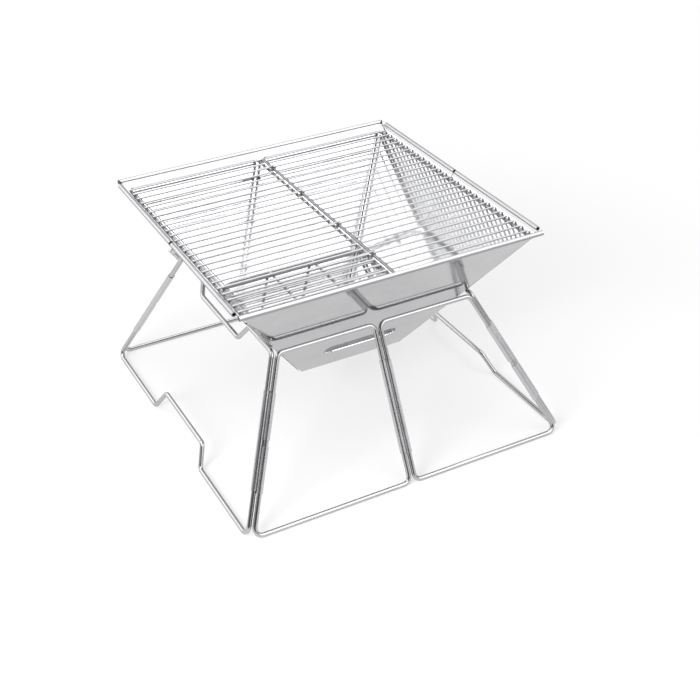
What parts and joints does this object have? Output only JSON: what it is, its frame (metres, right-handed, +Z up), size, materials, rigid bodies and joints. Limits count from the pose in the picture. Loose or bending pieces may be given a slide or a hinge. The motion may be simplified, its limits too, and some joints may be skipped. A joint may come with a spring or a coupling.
{
  "type": "folding camp grill",
  "caption": "Folding stainless camp grill: a hinged wire-loop stand carries a folding sheet-steel fire pan with charcoal and cooking grates.",
  "frame": {"origin": "on the ground, at the middle of the stand's footprint", "axes": "+Z up; -Y is the front, the wall with the draught slot; +X to the right seen from the front"},
  "size_m": [0.3468, 0.3648, 0.22],
  "materials": {
    "stand_wire": "polished stainless round bar",
    "sleeve_tube": "drawn stainless tube, satin",
    "hinge_pin": "bright stainless rod",
    "pan_sheet": "mirror-polished stainless sheet",
    "grate_wire": "polished stainless welded wire"
  },
  "bodies": {
    "left_frame": {"left_loop": "stand_wire", "front_left_sleeve": "sleeve_tube", "back_left_sleeve": "sleeve_tube"},
    "front_left_frame": {"front_left_loop": "stand_wire"},
    "front_middle_sleeve": {"front_middle_sleeve": "sleeve_tube"},
    "front_right_frame": {"front_right_loop": "stand_wire"},
    "right_frame": {"right_loop": "stand_wire", "front_right_sleeve": "sleeve_tube", "back_right_sleeve": "sleeve_tube"},
    "back_right_frame": {"back_right_loop": "stand_wire"},
    "back_left_frame": {"back_left_loop": "stand_wire"},
    "back_middle_sleeve": {"back_middle_sleeve": "sleeve_tube"},
    "pan_front": {"pan_front_panel": "pan_sheet", "front_left_corner_pin": "hinge_pin", "front_right_corner_pin": "hinge_pin"},
    "front_right_wall": {"front_right_gusset": "pan_sheet", "right_seam_pins": "hinge_pin"},
    "front_left_wall": {"front_left_gusset": "pan_sheet", "left_seam_pins": "hinge_pin"},
    "back_left_wall": {"back_left_gusset": "pan_sheet"},
    "pan_back": {"pan_back_panel": "pan_sheet", "back_left_corner_pin": "hinge_pin", "back_right_corner_pin": "hinge_pin"},
    "back_right_wall": {"back_right_gusset": "pan_sheet"},
    "bottom_plate": {"bottom_plate": "pan_sheet"},
    "charcoal_grate": {"charcoal_grate_frame": "grate_wire", "charcoal_grate_cross_wires": "grate_wire", "charcoal_grate_rods": "grate_wire"},
    "cooking_grate_left": {"cooking_grate_left_frame": "grate_wire", "cooking_grate_left_rods": "grate_wire", "cooking_grate_hinge_curls": "grate_wire"},
    "cooking_grate_right": {"cooking_grate_right_frame": "grate_wire", "cooking_grate_right_rods": "grate_wire"}
  },
  "joints": [
    {"name": "frame_fold", "type": "hinge", "parent": "left_frame", "child": "front_left_frame", "pos_m": [-0.16706, -0.18, 0.0024], "axis": [0.3821, 0.4022, 0.832], "range_deg": [0, 90]},
    {"name": "front_middle_left_hinge", "type": "hinge", "parent": "front_left_frame", "child": "front_middle_sleeve", "pos_m": [-0.0028, -0.18, 0.0024], "axis": [0, 0.4352, 0.9003], "range_deg": [-81.09, 0]},
    {"name": "front_middle_right_hinge", "type": "hinge", "parent": "front_middle_sleeve", "child": "front_right_frame", "pos_m": [0.0028, -0.18, 0.0024], "axis": [0, 0.4352, 0.9003], "range_deg": [-81.09, 0]},
    {"name": "front_right_hinge", "type": "hinge", "parent": "front_right_frame", "child": "right_frame", "pos_m": [0.16706, -0.18, 0.0024], "axis": [-0.3821, 0.4022, 0.832], "range_deg": [0, 90.5]},
    {"name": "back_right_hinge", "type": "hinge", "parent": "right_frame", "child": "back_right_frame", "pos_m": [0.16706, 0.18, 0.0024], "axis": [-0.3821, -0.4022, 0.832], "range_deg": [0, 90.5]},
    {"name": "back_left_hinge", "type": "hinge", "parent": "left_frame", "child": "back_left_frame", "pos_m": [-0.16706, 0.18, 0.0024], "axis": [0.3821, -0.4022, 0.832], "range_deg": [-90.5, 0]},
    {"name": "back_middle_hinge", "type": "hinge", "parent": "back_left_frame", "child": "back_middle_sleeve", "pos_m": [-0.0028, 0.18, 0.0024], "axis": [0, -0.4352, 0.9003], "range_deg": [0, 97.7]},
    {"name": "pan_lift", "type": "slide", "parent": "left_frame", "child": "pan_front", "axis": [0, 0, 1], "range_m": [0, 0.2769]},
    {"name": "pan_fold", "type": "hinge", "parent": "pan_front", "child": "front_right_wall", "pos_m": [0.09746, -0.09746, 0.14], "axis": [0.4875, -0.4875, 0.7244], "range_deg": [0, 95]},
    {"name": "front_left_wall_hinge", "type": "hinge", "parent": "pan_front", "child": "front_left_wall", "pos_m": [-0.09746, -0.09746, 0.14], "axis": [-0.4875, -0.4875, 0.7244], "range_deg": [-95.5, 0]},
    {"name": "left_seam_hinge", "type": "hinge", "parent": "front_left_wall", "child": "back_left_wall", "pos_m": [-0.13402, 0, 0.18], "axis": [-0.5583, 0, 0.8296], "range_deg": [0, 158.2]},
    {"name": "back_left_wall_hinge", "type": "hinge", "parent": "back_left_wall", "child": "pan_back", "pos_m": [-0.09746, 0.09746, 0.14], "axis": [-0.4875, 0.4875, 0.7244], "range_deg": [-95.5, 0]},
    {"name": "back_right_wall_hinge", "type": "hinge", "parent": "pan_back", "child": "back_right_wall", "pos_m": [0.09746, 0.09746, 0.14], "axis": [0.4875, 0.4875, 0.7244], "range_deg": [-95.5, 0]},
    {"name": "bottom_plate_lift", "type": "slide", "parent": "pan_front", "child": "bottom_plate", "axis": [0, 0, 1], "range_m": [0, 0.3668]},
    {"name": "charcoal_grate_lift", "type": "slide", "parent": "pan_front", "child": "charcoal_grate", "axis": [0, 0, 1], "range_m": [0, 0.3751]},
    {"name": "cooking_grate_lift", "type": "slide", "parent": "pan_front", "child": "cooking_grate_left", "axis": [0, 0, 1], "range_m": [0, 0.4497]},
    {"name": "grate_fold", "type": "hinge", "parent": "cooking_grate_left", "child": "cooking_grate_right", "pos_m": [0.0028, 0, 0.2116], "axis": [0, -1, 0], "range_deg": [0, 95]}
  ],
  "couplings": [
    {"joint": "front_middle_left_hinge", "follows": "frame_fold", "ratio": -0.8955},
    {"joint": "front_middle_right_hinge", "follows": "frame_fold", "ratio": -0.8955},
    {"joint": "front_right_hinge", "follows": "frame_fold", "ratio": 1},
    {"joint": "back_right_hinge", "follows": "frame_fold", "ratio": 1},
    {"joint": "back_left_hinge", "follows": "frame_fold", "ratio": -1},
    {"joint": "back_middle_hinge", "follows": "frame_fold", "ratio": 1.08},
    {"joint": "pan_lift", "follows": "frame_fold", "m_per_rad": 0.175},
    {"joint": "front_left_wall_hinge", "follows": "pan_fold", "ratio": -1},
    {"joint": "left_seam_hinge", "follows": "pan_fold", "ratio": 1.66},
    {"joint": "back_left_wall_hinge", "follows": "pan_fold", "ratio": -1},
    {"joint": "back_right_wall_hinge", "follows": "pan_fold", "ratio": -1},
    {"joint": "bottom_plate_lift", "follows": "pan_fold", "m_per_rad": 0.22},
    {"joint": "charcoal_grate_lift", "follows": "pan_fold", "m_per_rad": 0.225},
    {"joint": "cooking_grate_lift", "follows": "pan_fold", "m_per_rad": 0.27}
  ]
}
